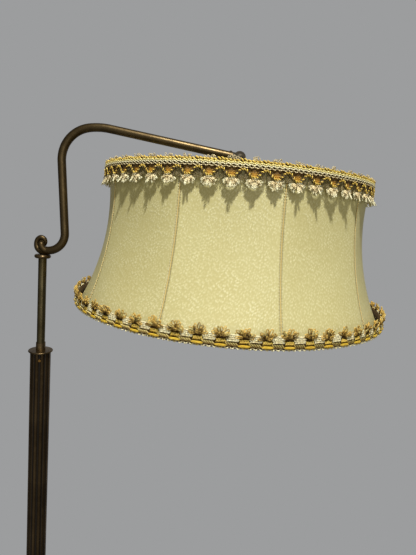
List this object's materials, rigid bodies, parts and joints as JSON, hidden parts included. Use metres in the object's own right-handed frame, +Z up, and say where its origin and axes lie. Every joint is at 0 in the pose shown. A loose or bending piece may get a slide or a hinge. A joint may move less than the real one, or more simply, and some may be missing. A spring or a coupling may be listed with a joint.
{
  "type": "bridge floor lamp",
  "caption": "Bridge floor lamp: fluted column on a round base, sliding swan-neck arm with a volute, and a tilting braided vellum shade.",
  "frame": {"origin": "on the floor under the column's axis, at the felt's underside", "axes": "+Z up along the column, +X along the arm towards the shade at rest"},
  "size_m": [0.549, 0.3602, 1.4989],
  "materials": {
    "aged_brass": "aged, darkened brass with worn patches",
    "bright_brass": "satin",
    "plated_steel": "zinc plated",
    "cast_iron": "rough casting, painted",
    "felt": "felt",
    "black_rubber": "matte",
    "lead_sheath": "soft sheath",
    "bush_plastic": "smooth bearing plastic",
    "fibre": "pressed fibre",
    "porcelain": "glazed ceramic",
    "opal_glass": "opal",
    "white_wire": "painted wire",
    "vellum": "embossed vellum with a pebble grain",
    "piping": "thin corded piping",
    "gold_yarn": "woven and twisted yarn",
    "cream_yarn": "looped yarn",
    "brown_yarn": "cut yarn"
  },
  "bodies": {
    "stand": {"felt_pad": "felt", "base_weight": "cast_iron", "base_cover": "aged_brass", "cord_bush": "black_rubber", "base_washer": "plated_steel", "base_nut": "plated_steel", "base_nipple": "plated_steel", "foot_cup": "aged_brass", "column_plug": "plated_steel", "fluted_column": "aged_brass", "column_lead": "lead_sheath", "column_head": "plated_steel", "head_screw": "bright_brass", "top_plate": "aged_brass", "guide_ferrule": "aged_brass"},
    "swivel": {"friction_bush": "bush_plastic"},
    "arm": {"rod_stop": "plated_steel", "sliding_rod": "aged_brass", "disc_collar": "aged_brass", "arm_scroll": "aged_brass", "arm_tube": "aged_brass", "arm_lead": "lead_sheath", "knuckle_upper": "aged_brass", "grub_screw": "plated_steel", "friction_washer": "fibre", "knuckle_screw": "aged_brass", "knuckle_nut": "aged_brass"},
    "shade": {"knuckle_lower": "aged_brass", "holder_nipple": "plated_steel", "lampholder_cap": "bright_brass", "lampholder_shell": "bright_brass", "porcelain_insert": "porcelain", "screw_shell": "bright_brass", "shade_ring": "bright_brass", "bulb_cap": "plated_steel", "bulb_glass": "opal_glass", "spider": "white_wire", "top_ring": "white_wire", "bottom_ring": "white_wire", "frame_ribs": "white_wire", "panel_01": "vellum", "panel_02": "vellum", "panel_03": "vellum", "panel_04": "vellum", "panel_05": "vellum", "panel_06": "vellum", "panel_07": "vellum", "panel_08": "vellum", "panel_09": "vellum", "panel_10": "vellum", "seam_piping": "piping", "top_braid": "gold_yarn", "scallop_cord": "gold_yarn", "top_tassels": "cream_yarn", "bottom_braid": "gold_yarn", "bottom_tufts": "brown_yarn"}
  },
  "joints": [
    {"name": "arm_swivel", "type": "hinge", "parent": "stand", "child": "swivel", "pos_m": [0, 0, 1.19], "axis": [0, 0, 1], "range_deg": [-175, 175]},
    {"name": "height_slide", "type": "slide", "parent": "swivel", "child": "arm", "axis": [0, 0, 1], "range_m": [-0.108, 0.25]},
    {"name": "shade_tilt", "type": "hinge", "parent": "arm", "child": "shade", "pos_m": [0.23391, 0, 1.47122], "axis": [0, 1, 0], "range_deg": [-40, 10]}
  ]
}
